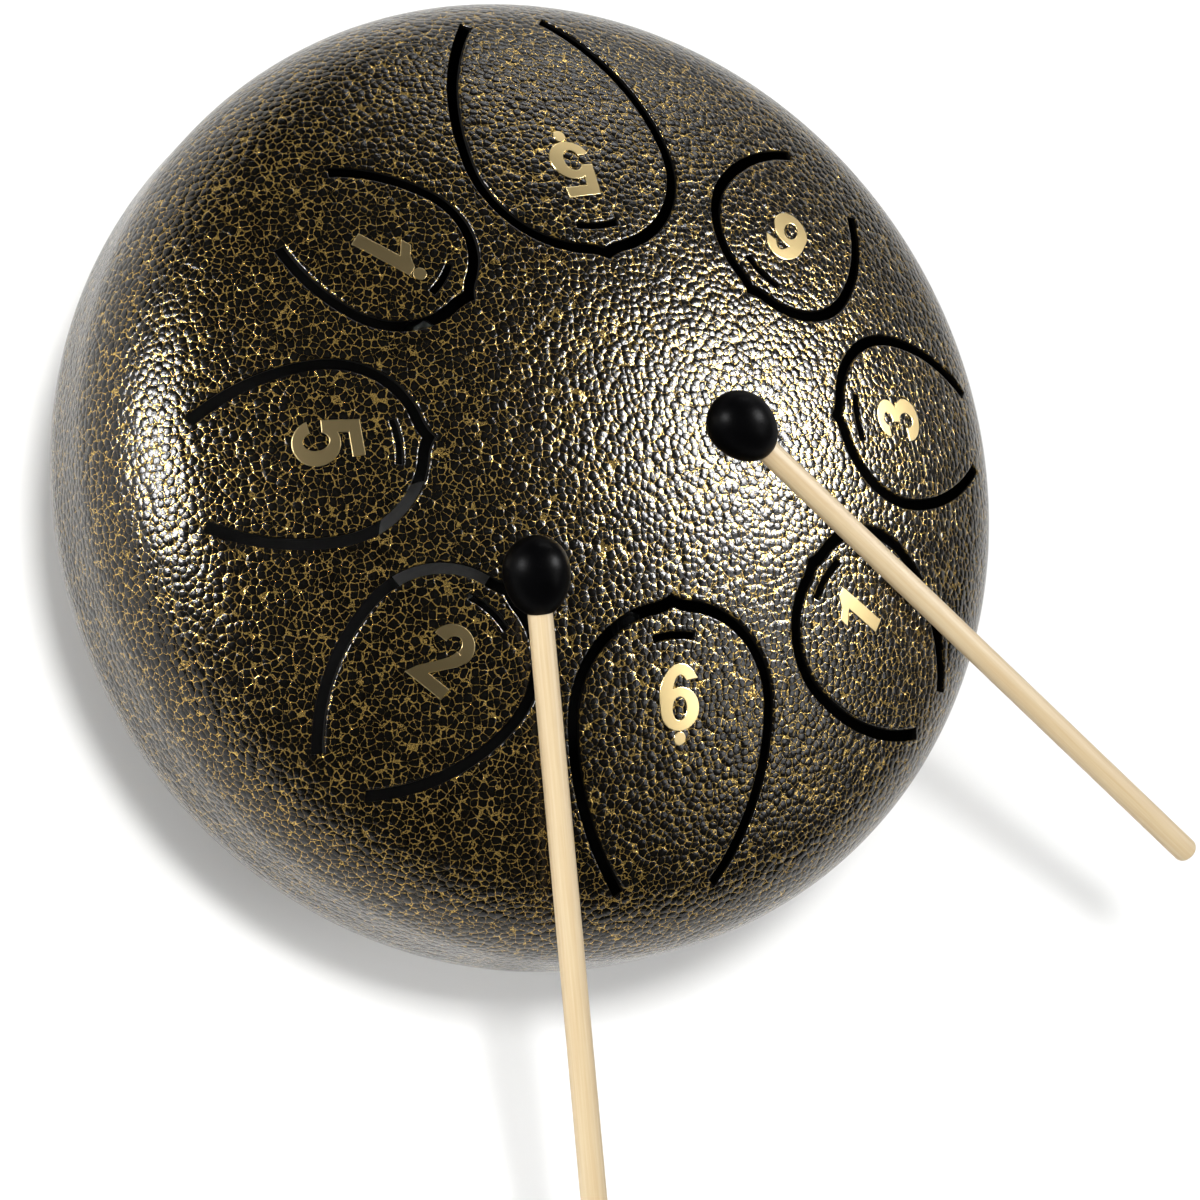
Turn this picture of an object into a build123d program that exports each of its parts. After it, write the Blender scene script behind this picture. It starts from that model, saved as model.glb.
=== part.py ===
from build123d import *
import os
from math import acos, asin, atan2, cos, degrees, hypot, radians, sin, sqrt, tan

# A ten-inch steel tongue drum on three rubber feet, with the two mallets that lie on it.
# Millimetres, +Z up. The origin is on the drum's axis, in the plane that the feet stand on.

# ---------------------------------------------------------------- driving dimensions
# Shells: two pressed steel dishes, each a spherical crown, a knuckle and a straight rim
drum_diameter = 254.0
sheet = 1.5
crown_radius = 224.0
knuckle_radius = 38.0
rim_height = 8.5
weld_depth = 1.0
sound_hole_diameter = 36.0
floor_gap = 5.0  # from the lower shell's crown to the floor

# Slots that free the tongues
slot_width = 2.75
cusp_height = 1.5  # how far the slot's point stands out of the round nose
cusp_bend = 12.0  # radius of the hollow curve each side of that point
slit_width = 1.7
slit_bend = 24.0

# Numerals: foil stickers, drawn on a grid 16 units high
numeral_height = 15.8
foil = 0.2
dot_diameter = 3.2
dot_gap = 0.15

# Feet and their fasteners, M4
foot_count = 3
first_foot_angle = 90.0
feet_circle_diameter = 118.0
foot_diameter = 25.0
foot_tip_diameter = 21.0
foot_edge_round = 1.2
foot_seat = 4.0  # rubber between the shell and the screw's washer
recess_diameter = 11.0
screw_diameter = 4.0
screw_length = 12.0
screw_head_diameter = 8.0
screw_head_height = 2.6
drive_width = 1.2
drive_length = 4.6
drive_depth = 1.4
hole_play = 0.2  # on the radius, where the screw passes a hole
thread_play = 0.02
washer_diameter = 9.0
washer_thickness = 0.8
nut_across_flats = 7.0
nut_height = 3.2

# Mallets: a rubber head on a birch stick
head_diameter = 16.2
head_nose = 8.6  # from the widest section to the tip
head_tail = 10.0  # from the widest section to the mouth that the stick enters
mouth_lip = 0.4  # rubber around the stick at the mouth
stick_diameter = 6.0  # at the head
butt_diameter = 6.8
stick_length = 196.0
stick_socket = 10.0  # how deep the stick sits in the head
butt_round = 1.6
mallet_gap = 0.15  # between a resting mallet and the steel

# ---------------------------------------------------------------- layouts
# Each tongue: where its root ends are, how long it is from root to point, where its
# widest place lies behind the point, its half width there and at the root, how its
# numeral is stuck on (behind the point, off the middle, and turned by some degrees),
# and its tuning slit's half length and distance behind the point.
TONGUES = {
    "low_6": dict(angle=-90.0, root_inset=14.5, length=67.0, shoulder=26.5, half_width=27.0,
                  half_root=13.0, digit="6", dot="below", behind=23.0, aside=0.8, turn=0.0,
                  half_slit=5.8, slit_inset=8.2),
    "1": dict(angle=-42.0, root_inset=15.0, length=55.0, shoulder=21.0, half_width=23.2,
              half_root=7.0, digit="1", dot=None, behind=19.0, aside=-0.9, turn=9.0,
              half_slit=6.2, slit_inset=5.4),
    "3": dict(angle=-0.5, root_inset=17.0, length=53.5, shoulder=23.5, half_width=22.0,
              half_root=10.0, digit="3", dot=None, behind=22.5, aside=0.3, turn=0.0,
              half_slit=6.0, slit_inset=7.2),
    "6": dict(angle=42.0, root_inset=29.0, length=49.0, shoulder=22.0, half_width=21.8,
              half_root=11.5, digit="6", dot=None, behind=22.8, aside=0.2, turn=0.0,
              half_slit=5.6, slit_inset=6.9),
    "low_5": dict(angle=94.0, root_inset=14.0, length=70.5, shoulder=28.0, half_width=27.6,
                  half_root=10.7, digit="5", dot="below", behind=24.0, aside=0.8, turn=2.0,
                  half_slit=5.8, slit_inset=7.7),
    "high_1": dict(angle=141.0, root_inset=31.5, length=43.0, shoulder=20.0, half_width=19.2,
                   half_root=12.3, digit="1", dot="above", behind=22.0, aside=-0.4, turn=-1.0,
                   half_slit=4.6, slit_inset=7.4),
    "5": dict(angle=181.5, root_inset=19.0, length=51.5, shoulder=23.0, half_width=21.6,
              half_root=12.8, digit="5", dot=None, behind=23.2, aside=-2.4, turn=0.0,
              half_slit=5.6, slit_inset=7.2),
    "2": dict(angle=223.5, root_inset=15.0, length=54.5, shoulder=21.8, half_width=22.5,
              half_root=7.6, digit="2", dot=None, behind=21.3, aside=-0.7, turn=3.0,
              half_slit=6.0, slit_inset=6.4),
}

# Where each mallet's head lies, in plan, and which way its stick points
MALLETS = {
    "mallet_1": dict(head_x=-38.5, head_y=-37.5, heading=-83.5),
    "mallet_2": dict(head_x=19.5, head_y=-5.3, heading=-36.8),
}

# ---------------------------------------------------------------- worked-out sizes
drum_radius = drum_diameter / 2
crown_drop = sqrt((crown_radius - knuckle_radius) ** 2 - (drum_radius - knuckle_radius) ** 2)
crown_centre = rim_height - crown_drop  # height of the crown's centre over the seam
shell_rise = crown_centre + crown_radius
crown_angle = degrees(asin((drum_radius - knuckle_radius) / (crown_radius - knuckle_radius)))
seam_height = floor_gap + shell_rise
upper_centre = Vector(0, 0, seam_height + crown_centre)
lower_centre = Vector(0, 0, seam_height - crown_centre)
clear_of_all = 4 * drum_diameter
free_meridian = 20.0  # no tongue lies at this angle, so round faces have their seam here


def on_arc(centre, radius, angle):
    """The point of a circle at an angle in degrees."""
    return centre + Vector(cos(radians(angle)), sin(radians(angle))) * radius


def arc_about(centre, start, end):
    """The shorter arc from start to end about a centre that is equally far from both."""
    middle = ((start - centre) + (end - centre)).normalized() * (start - centre).length
    return ThreePointArc(start, centre + middle, end)


# ---------------------------------------------------------------- shells
def dish_outline(offset):
    """Half section of a dish from the rim to the pole, offset inwards from the outside."""
    crown = Vector(0, crown_centre)
    knuckle = Vector(drum_radius - knuckle_radius, rim_height)
    rim = Vector(drum_radius - offset, 0)
    top_of_rim = Vector(drum_radius - offset, rim_height)
    joint = on_arc(knuckle, knuckle_radius - offset, 90 - crown_angle)
    pole = Vector(0, shell_rise - offset)
    return [Line(rim, top_of_rim), arc_about(knuckle, top_of_rim, joint),
            arc_about(crown, joint, pole)]


def dish():
    """One closed dish, rim down on the XY plane, its rim bevelled for the weld."""
    outside = dish_outline(0)
    inside = dish_outline(sheet)
    ends = [Line(outside[0] @ 0, inside[0] @ 0), Line(outside[-1] @ 1, inside[-1] @ 1)]
    section = make_face(outside + inside + ends)
    bevel = make_face(Polyline((drum_radius - weld_depth, 0), (drum_radius, 0),
                               (drum_radius, weld_depth), close=True))
    return Rot(0, 0, free_meridian) * revolve(Plane.XZ * (section - bevel), Axis.Z)


def seam_weld():
    """The bead that fills the bevels of both rims, ground flush with the steel."""
    groove = make_face(Polyline((drum_radius - weld_depth, 0), (drum_radius, -weld_depth),
                                (drum_radius, weld_depth), close=True))
    bead = revolve(Plane.XZ * groove, Axis.Z)
    return Pos(0, 0, seam_height) * Rot(0, 0, free_meridian) * bead


# ---------------------------------------------------------------- tongues
def tip_of(tongue):
    """Distance of the slot's point from the drum's axis."""
    return drum_radius - tongue["root_inset"] - tongue["length"]


def slot_side(tongue):
    """The middle line of one side of a slot: the cusp, the nose and the flank."""
    tip = Vector(tip_of(tongue), 0)
    shoulder = Vector(tip.X + tongue["shoulder"], tongue["half_width"])
    root = Vector(tip.X + tongue["length"], tongue["half_root"])
    run = tongue["shoulder"] - cusp_height
    nose_radius = (run**2 + shoulder.Y**2) / (2 * shoulder.Y)
    nose = shoulder - Vector(0, nose_radius)
    drop = shoulder.Y - root.Y
    flank_radius = ((root.X - shoulder.X) ** 2 + drop**2) / (2 * drop)
    flank = shoulder - Vector(0, flank_radius)
    # the hollow curve touches the nose from outside and ends on the slot's point
    apart = (nose - tip).length
    reach = nose_radius + cusp_bend
    along = (cusp_bend**2 - reach**2 + apart**2) / (2 * apart)
    across = sqrt(cusp_bend**2 - along**2)
    inward = (nose - tip).normalized()
    hollow = tip + inward * along + Vector(-inward.Y, inward.X) * across
    touch = nose + (hollow - nose) * (nose_radius / reach)
    return [arc_about(hollow, tip, touch), arc_about(nose, touch, shoulder),
            arc_about(flank, shoulder, root)]


def tuning_slit(tongue):
    """The short slit behind the point, curved the same way as the nose."""
    half = tongue["half_slit"]
    front = tip_of(tongue) + tongue["slit_inset"]
    back = front + slit_bend - sqrt(slit_bend**2 - half**2)
    return trace(ThreePointArc((back, -half), (front, 0), (back, half)), slit_width)


def tongue_cut(tongue):
    """Everything that is cut through the upper shell for one tongue, as a tall prism."""
    side = slot_side(tongue)
    other_side = [mirror(edge, about=Plane.XZ) for edge in side]
    slot = trace(side + other_side, slot_width)
    prism = extrude(slot + tuning_slit(tongue), amount=shell_rise)
    return Pos(0, 0, rim_height) * Rot(0, 0, tongue["angle"]) * prism


def upper_shell():
    """The playing side: the dish with eight tongues cut in it, all one piece of steel."""
    shell = dish()
    for tongue in TONGUES.values():
        shell -= tongue_cut(tongue)
    return Pos(0, 0, seam_height) * shell


def lower_shell():
    """The same dish turned over, with the sound hole and the holes for the feet."""
    shell = Pos(0, 0, seam_height) * mirror(dish(), about=Plane.XY)
    shell -= Cylinder(sound_hole_diameter / 2, 2 * seam_height)
    hole = Cylinder(screw_diameter / 2 + hole_play, 4 * sheet)
    for place in foot_places():
        shell -= place * hole
    return shell


# ---------------------------------------------------------------- numerals
def ring(centre, outer, inner, inner_centre=None):
    """An oval bowl: an ellipse with an elliptical counter."""
    counter = inner_centre or centre
    return Pos(*centre) * Ellipse(*outer) - Pos(*counter) * Ellipse(*inner)


def patch(*corners):
    """A straight-sided piece of a numeral."""
    return make_face(Polyline(*corners, close=True))


def figure_1():
    stem = patch((0.4, -7.7), (3.9, -7.7), (3.9, 7.7), (1.3, 7.7), (0.4, 6.2))
    flag = patch((1.3, 7.7), (-0.9, 5.3), (-3.6, 4.1), (-3.7, 1.4), (0.4, 3.3))
    return stem + flag


def figure_2():
    top = ring((-0.4, 3.2), (5.4, 4.8), (2.0, 2.3))
    top -= patch((-8, 3.0), (-1.4, 3.0), (1.6, 2.9), (4.9, 1.8), (8, 1.8), (8, -8), (-8, -8))
    leg = patch((1.4, 2.7), (4.92, 2.4), (3.8, 0.2), (1.7, -2.2), (-0.9, -5.1),
                (-5.6, -8), (-4.2, -5.3), (-1.4, -2.0), (0.7, 0.7))
    foot = patch((-5.6, -8), (5.6, -8), (5.6, -5.1), (-4.0, -5.1))
    return top + leg + foot


def figure_3():
    upper = ring((0, 4.0), (5.0, 4.0), (1.7, 1.6), (-0.2, 4.2))
    lower = ring((0, -3.2), (5.7, 4.8), (2.0, 2.45), (-0.2, -2.9))
    upper -= Pos(-0.2, -2.9) * Ellipse(2.0, 2.45)
    lower -= Pos(-0.2, 4.2) * Ellipse(1.7, 1.6)
    mouth = patch((-8, 3.5), (-1.9, 4.1), (-0.9, 2.2), (-0.9, -0.6), (-2.1, -2.6), (-8, -3.3))
    return upper + lower - mouth


def figure_5():
    bowl = ring((0.1, -2.5), (5.7, 5.5), (2.35, 3.0), (-0.3, -2.45))
    bowl -= patch((-8, 6), (-4.4, 6), (-2.3, -0.9), (-0.3, -2.0), (-2.4, -3.6), (-8, -4.2))
    flag = patch((-4.2, 8), (4.7, 8), (4.7, 5.1), (-1.4, 5.1), (-2.0, 1.7), (-2.3, -0.9),
                 (-5.3, -0.7))
    return bowl + flag


def figure_6():
    body = ring((0.3, 0), (5.8, 8), (2.3, 5.3))
    body -= patch((0, 4.4), (1.6, 3.8), (8, 4.6), (8, -9), (0, -9))
    bowl = Pos(0.15, -2.8) * Ellipse(5.4, 5.2)
    return body + bowl - Pos(0.05, -2.7) * Ellipse(2.0, 2.8)


FIGURES = {"1": figure_1, "2": figure_2, "3": figure_3, "5": figure_5, "6": figure_6}
figure_grid = 16.0
# Where an octave dot stands sideways: the figure 1 has its stem off the middle
DOT_ASIDE = {"1": 2.1, "5": 0.3, "6": 0.1}


def numeral(tongue):
    """One foil sticker, with its octave dot, lying on the crown behind the slot's point."""
    face = scale(FIGURES[tongue["digit"]](), by=numeral_height / figure_grid)
    if tongue["dot"]:
        side = 1 if tongue["dot"] == "above" else -1
        tall = face.bounding_box().max.Y if side > 0 else -face.bounding_box().min.Y
        away = tall + dot_gap + dot_diameter / 2
        face += Pos(DOT_ASIDE[tongue["digit"]], side * away) * Circle(dot_diameter / 2)
    # a numeral's top points to the drum's axis
    place = Pos(tip_of(tongue) + tongue["behind"], tongue["aside"])
    face = Rot(0, 0, tongue["angle"]) * place * Rot(0, 0, 90 + tongue["turn"]) * face
    prism = Pos(0, 0, seam_height) * extrude(face, amount=2 * shell_rise)
    skin = Sphere(crown_radius + foil) - Sphere(crown_radius)
    return prism & Pos(upper_centre) * Rot(0, 0, free_meridian) * skin


# ---------------------------------------------------------------- feet
def foot_places():
    """A frame for each foot: origin on the outside of the shell, Z along the screw, inwards."""
    places = []
    for number in range(foot_count):
        angle = first_foot_angle + number * 360 / foot_count
        inwards = Rot(0, 0, angle) * Rot(0, -foot_lean(), 0)
        places.append(Pos(lower_centre) * inwards * Pos(0, 0, -crown_radius))
    return places


def foot_lean():
    """Angle in degrees between a foot's screw and the upright."""
    return degrees(asin(feet_circle_diameter / 2 / crown_radius))


def foot(place):
    """A rubber foot: its top fits the shell's curve, and its tread is cut level with the floor."""
    lean = radians(foot_lean())
    reach = (lower_centre.Z - crown_radius * cos(lean)) / cos(lean)
    taper = (foot_diameter - foot_tip_diameter) / 2 / reach
    top = foot_diameter / 2 + taper * foot_seat
    low = reach + foot_tip_diameter * tan(lean)
    tip = foot_diameter / 2 - taper * low
    cone = Pos(0, 0, (foot_seat - low) / 2) * Cone(tip, top, foot_seat + low)
    body = place * cone & Pos(0, 0, drum_radius) * Box(clear_of_all, clear_of_all, drum_diameter)
    tread = body.faces().sort_by(Axis.Z)[0]
    body = fillet(tread.edges(), foot_edge_round)
    body -= place * Pos(0, 0, crown_radius) * Rot(90, 0, 0) * Sphere(crown_radius)
    recess = Pos(0, 0, -foot_seat - low) * Cylinder(recess_diameter / 2, 2 * low)
    bore = Cylinder(screw_diameter / 2 + hole_play, 4 * foot_seat)
    return body - place * (recess + bore)


def screw():
    """A pan-head screw with a cross recess, its head down against the outer washer."""
    under_head = -foot_seat - washer_thickness
    shank = Pos(0, 0, under_head + screw_length / 2) * Cylinder(screw_diameter / 2, screw_length)
    head = Cylinder(screw_head_diameter / 2, screw_head_height)
    head = fillet(head.edges().group_by(Axis.Z)[0], screw_head_height / 2)
    bar = Box(drive_length, drive_width, 2 * drive_depth)
    cross = Pos(0, 0, -screw_head_height / 2) * (bar + Rot(0, 0, 90) * bar)
    return Pos(0, 0, under_head - screw_head_height / 2) * (head - cross) + shank


def washer(bore):
    return Cylinder(washer_diameter / 2, washer_thickness) - Cylinder(bore, 2 * washer_thickness)


def outer_washer():
    return Pos(0, 0, -foot_seat - washer_thickness / 2) * washer(screw_diameter / 2 + hole_play)


def inner_seat():
    """Height over the shell's outside at which a flat washer's rim meets its hollow inside."""
    hollow = crown_radius - sheet
    return sheet + hollow - sqrt(hollow**2 - (washer_diameter / 2) ** 2)


def inner_washer():
    middle = inner_seat() + washer_thickness / 2
    return Pos(0, 0, middle) * washer(screw_diameter / 2 + hole_play)


def nut():
    low = inner_seat() + washer_thickness
    hexagon = RegularPolygon(nut_across_flats / 2, 6, major_radius=False)
    block = extrude(hexagon, amount=nut_height)
    corners = Pos(0, 0, nut_height / 2) * Sphere(0.62 * nut_across_flats)
    block = block & corners
    return Pos(0, 0, low) * (block - Cylinder(screw_diameter / 2 + thread_play, 4 * nut_height))


# ---------------------------------------------------------------- mallets
def mallet_frame(layout):
    """The frame of a resting mallet: origin at the head's widest section, Z along the stick.

    Head and stick both rest on the crown, so the stick's line passes the crown's centre at
    the crown's radius plus its own."""
    contact = stick_contact()
    radius = crown_radius + mallet_gap
    to_head = radius + head_diameter / 2
    plan = hypot(layout["head_x"], layout["head_y"])
    height = upper_centre.Z + sqrt(to_head**2 - plan**2)
    head = Vector(layout["head_x"], layout["head_y"], height)
    to_centre = (upper_centre - head).normalized()
    bearing = Vector(cos(radians(layout["heading"])), sin(radians(layout["heading"])), 0)
    level = to_centre.dot(bearing)
    down = -to_centre.Z
    to_stick = radius + stick_radius(contact)
    lean = sqrt(1 - (to_stick / to_head) ** 2)
    slope = atan2(down, level) - acos(lean / hypot(level, down))
    along = bearing * cos(slope) - Vector(0, 0, sin(slope))
    return Plane(origin=head, z_dir=along)


def stick_radius(distance):
    """The stick's radius at a distance from the head's widest section."""
    share = (distance + stick_socket - head_tail) / stick_length
    return (stick_diameter + (butt_diameter - stick_diameter) * share) / 2


def stick_contact():
    """How far behind the head's widest section the stick touches the crown."""
    reach = crown_radius + mallet_gap
    contact = 0.0
    for _ in range(8):
        touch = reach + stick_radius(contact)
        contact = sqrt((reach + head_diameter / 2) ** 2 - touch**2)
    return contact


def stick():
    """A tapered birch stick with a rounded butt, along Z from inside the head."""
    start = head_tail - stick_socket
    end = start + stick_length
    cone = Pos(0, 0, (start + end) / 2) * Cone(stick_diameter / 2, butt_diameter / 2, stick_length)
    return fillet(cone.edges().group_by(Axis.Z)[-1], butt_round)


def mallet_head():
    """A rubber bulb, widest near its tip, with the stick's socket in its tail."""
    radius = head_diameter / 2
    mouth = stick_diameter / 2 + mouth_lip
    oval = head_tail / sqrt(1 - (mouth / radius) ** 2)
    front = Ellipse(head_nose, radius) & Pos(-head_nose, radius) * Rectangle(
        2 * head_nose, 2 * radius)
    back = Ellipse(oval, radius) & Pos(head_tail / 2, radius) * Rectangle(
        head_tail, 2 * radius)
    half = front + back
    bulb = revolve(half, Axis.X)
    return Rot(0, -90, 0) * bulb - stick()


# ---------------------------------------------------------------- files
def build_nodes():
    """Every piece of the drum and its mallets, by name, in its place."""
    nodes = {"upper_shell": upper_shell(), "lower_shell": lower_shell(),
             "seam_weld": seam_weld()}
    for name, tongue in TONGUES.items():
        nodes[f"numeral_{name}"] = numeral(tongue)
    for number, place in enumerate(foot_places(), 1):
        nodes[f"foot_{number}"] = foot(place)
        nodes[f"foot_screw_{number}"] = place * screw()
        nodes[f"foot_outer_washer_{number}"] = place * outer_washer()
        nodes[f"foot_inner_washer_{number}"] = place * inner_washer()
        nodes[f"foot_nut_{number}"] = place * nut()
    for name, layout in MALLETS.items():
        resting = Location(mallet_frame(layout))
        nodes[f"{name}_head"] = resting * mallet_head()
        nodes[f"{name}_stick"] = resting * stick()
    return nodes


os.makedirs("parts", exist_ok=True)
for name, shape in build_nodes().items():
    export_step(shape, f"parts/{name}.step")
    print(f"{name}: {shape.volume:.1f} mm3, {len(shape.solids())} solid(s)")
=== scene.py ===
# %% [markdown]
# # A steel tongue drum and its two mallets
# Two dished steel shells are welded rim to rim. Eight tongues are cut through the upper one,
# and each rings with its own note when a rubber-headed mallet strikes it. This script gives
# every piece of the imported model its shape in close-up and its finish. It begins by loading
# that model, whose places and sizes stay as they are.

# %% Load the fixed frame
from math import acos, asin, atan2, cos, hypot, pi, radians, sin, sqrt

import bmesh
import bpy
import numpy as np
from mathutils import Matrix, Vector
from mathutils.geometry import delaunay_2d_cdt


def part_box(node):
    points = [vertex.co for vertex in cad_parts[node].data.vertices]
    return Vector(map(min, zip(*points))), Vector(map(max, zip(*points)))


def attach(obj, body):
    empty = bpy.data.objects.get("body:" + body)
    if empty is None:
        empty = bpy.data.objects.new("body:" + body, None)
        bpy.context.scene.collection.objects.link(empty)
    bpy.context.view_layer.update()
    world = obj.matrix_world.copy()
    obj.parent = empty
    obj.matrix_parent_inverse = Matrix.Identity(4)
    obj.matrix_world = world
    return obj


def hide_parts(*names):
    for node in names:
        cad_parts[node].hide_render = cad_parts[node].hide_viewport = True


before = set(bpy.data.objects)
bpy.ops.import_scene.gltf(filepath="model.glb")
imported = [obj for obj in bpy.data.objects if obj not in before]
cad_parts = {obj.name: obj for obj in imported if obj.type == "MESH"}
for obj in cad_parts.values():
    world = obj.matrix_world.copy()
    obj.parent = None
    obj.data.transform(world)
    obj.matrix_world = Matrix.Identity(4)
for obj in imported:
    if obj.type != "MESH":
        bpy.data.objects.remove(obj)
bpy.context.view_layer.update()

MM = 0.001
print("nodes:", len(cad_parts))

# %% [markdown]
# ## Small helpers
# A paint chart gives colours as sRGB hex values, but the shaders work in linear light, so one
# function converts them. Another adds a node to any tree and links it in one line: each input
# is either a value, a node (its first output is used) or an output socket.

# %% Colour and node helpers
def linear(hex_colour):
    """An sRGB hex colour as linear RGBA."""
    parts = [int(hex_colour[i:i + 2], 16) / 255 for i in (1, 3, 5)]
    light = [p / 12.92 if p <= 0.04045 else ((p + 0.055) / 1.055) ** 2.4 for p in parts]
    return (*light, 1.0)


def add(tree, kind, inputs=None, **settings):
    """Adds a node with its settings, and fills or links its inputs."""
    node = tree.nodes.new(kind)
    for name, value in settings.items():
        setattr(node, name, value)
    for key, value in (inputs or {}).items():
        if isinstance(value, bpy.types.Node):
            value = value.outputs[0]
        if isinstance(value, bpy.types.NodeSocket):
            tree.links.new(value, node.inputs[key])
        else:
            node.inputs[key].default_value = value
    return node


def new_finish(name):
    """An empty material with its output node, and its tree."""
    material = bpy.data.materials.new(name)
    material.use_nodes = True
    material.node_tree.nodes.clear()
    return material, material.node_tree


def surface(tree, shader):
    """Makes a shader the surface of its material."""
    add(tree, "ShaderNodeOutputMaterial", {"Surface": shader})


print("black in linear light:", linear("#17130f")[:3])

# %% [markdown]
# Pieces come from vertices and faces, or from a Geometry Nodes tree that is run once and kept
# as a plain mesh. Baking it leaves ordinary faces.
# Each finished piece then gets its material, the body that it moves with and the imported nodes
# that it stands for. Its shading breaks where faces meet sharply.

# %% Mesh and baking helpers
def mesh_piece(name, verts, faces):
    """A smooth-shaded object at the origin from millimetre vertices."""
    mesh = bpy.data.meshes.new(name)
    mesh.from_pydata([Vector(v) * MM for v in verts], [], faces)
    mesh.polygons.foreach_set("use_smooth", [True] * len(mesh.polygons))
    mesh.update()
    piece = bpy.data.objects.new(name, mesh)
    bpy.context.scene.collection.objects.link(piece)
    return piece


def new_tree(name, sockets):
    """A Geometry Nodes tree with named inputs; sockets maps each name to its kind."""
    tree = bpy.data.node_groups.new(name, "GeometryNodeTree")
    tree.interface.new_socket(name="Piece", in_out="INPUT", socket_type="NodeSocketGeometry")
    for label, kind in sockets.items():
        tree.interface.new_socket(name=label, in_out="INPUT", socket_type="NodeSocket" + kind)
    tree.interface.new_socket(name="Result", in_out="OUTPUT", socket_type="NodeSocketGeometry")
    return tree, add(tree, "NodeGroupInput").outputs


def end_tree(tree, geometry, material, inner_material=None, inner=None):
    """Realizes the instances, sets the finishes and closes the tree."""
    real = add(tree, "GeometryNodeRealizeInstances", {0: geometry})
    painted = add(tree, "GeometryNodeSetMaterial", {"Geometry": real, "Material": material})
    if inner:
        painted = add(tree, "GeometryNodeSetMaterial",
                      {"Geometry": painted, "Selection": inner, "Material": inner_material})
    add(tree, "NodeGroupOutput", {0: painted})


def bake(piece, tree, values):
    """Runs a tree on a piece and keeps the result as its plain mesh."""
    modifier = piece.modifiers.new(tree.name, "NODES")
    modifier.node_group = tree
    for item in tree.interface.items_tree:
        if item.name in values:
            modifier[item.identifier] = values[item.name]
    depsgraph = bpy.context.evaluated_depsgraph_get()
    mesh = bpy.data.meshes.new_from_object(piece.evaluated_get(depsgraph),
                                           preserve_all_data_layers=True, depsgraph=depsgraph)
    piece.modifiers.remove(modifier)
    piece.data = mesh
    print(f"{piece.name}: {len(mesh.polygons)} faces")
    return piece


def faces_outwards(piece):
    """Makes all faces of a closed piece point outwards."""
    work = bmesh.new()
    work.from_mesh(piece.data)
    bmesh.ops.recalc_face_normals(work, faces=work.faces)
    work.to_mesh(piece.data)
    work.free()


def finish_piece(piece, finish, body, nodes, crisp=40):
    """Gives a finished piece its material, body and nodes."""
    if not piece.data.materials:
        piece.data.materials.append(finish)
    piece.data.set_sharp_from_angle(angle=radians(crisp))
    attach(piece, body)
    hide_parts(*nodes)


# %% [markdown]
# ## Camera
# The drum is seen from a little beside and well above it, with a long lens, so its round
# outline stays nearly a circle. The camera is rolled, as if it had been turned in the hand
# over a table: that is why the sticks point to the lower right.

# %% Set up the camera
camera_place = Vector((-0.3669, -0.1714, 0.8188))
camera_aim = Vector((0.0133, -0.0322, 0.0742))
camera_roll = radians(-63.4)

look = (camera_aim - camera_place).normalized()
level_right = look.cross(Vector((0, 0, 1))).normalized()
level_up = level_right.cross(look)
up = level_up * cos(camera_roll) + look.cross(level_up) * sin(camera_roll)
right = look.cross(up)
lens = bpy.data.cameras.new("studio_camera")
lens.lens = 96.77  # millimetres, for a frame 36 mm wide
lens.sensor_width = 36
camera = bpy.data.objects.new("studio_camera", lens)
aimed = Matrix((right, up, -look)).transposed().to_4x4()
camera.matrix_world = Matrix.Translation(camera_place) @ aimed
bpy.context.scene.collection.objects.link(camera)
bpy.context.scene.camera = camera
bpy.context.scene.view_settings.view_transform = "Standard"
print("camera distance:", round((camera_aim - camera_place).length, 3), "m")

# %% [markdown]
# ## Studio
# Glossy black paint shows its lamps rather than its own colour, so the lamps shape this drum.
# Two soft boxes only light gloss: a high one makes the broad patch of sparkle on the crown,
# and a low one on the left makes the second patch. A weak box on the right brings out the
# gold, and a strip behind gives the sheen along the far rim. Three more lamps only light
# matt things: a small one overhead throws the quiet shadows, and a fill and a wide ceiling
# keep them and the table pale. The room is pale near the table and dark overhead.

# %% Lamps and room
middle = Vector((0, 0, 0.09))


def softbox(name, azimuth, elevation, distance, size, power, lights_gloss=True,
            lights_paint=True):
    """A soft rectangular lamp that looks at the drum from a direction."""
    lamp = bpy.data.lights.new(name, "AREA")
    lamp.shape = "RECTANGLE"
    lamp.size, lamp.size_y = size
    lamp.energy = power
    turn = radians(azimuth)
    rise = radians(elevation)
    away = Vector((cos(rise) * cos(turn), cos(rise) * sin(turn), sin(rise)))
    holder = bpy.data.objects.new(name, lamp)
    holder.matrix_world = (Matrix.Translation(middle + away * distance)
                           @ away.to_track_quat("Z", "Y").to_matrix().to_4x4())
    holder.visible_glossy = lights_gloss
    holder.visible_diffuse = lights_paint
    bpy.context.scene.collection.objects.link(holder)
    return holder


key = softbox("key_softbox", 13, 46, 1.3, (0.42, 0.42), 44, lights_paint=False)
softbox("right_softbox", -30, 40, 1.5, (0.5, 0.6), 5)
softbox("left_softbox", 166, 19, 1.2, (0.38, 0.4), 30, lights_paint=False)
softbox("left_fill", 188, 25, 1.2, (0.8, 0.5), 8, lights_gloss=False)
softbox("back_strip", 65, 17, 1.4, (0.8, 0.2), 4)
softbox("shadow_lamp", 178, 74, 1.5, (0.2, 0.2), 17, lights_gloss=False)
softbox("ceiling", 190, 88, 3.5, (6.0, 6.0), 81, lights_gloss=False)

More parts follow.
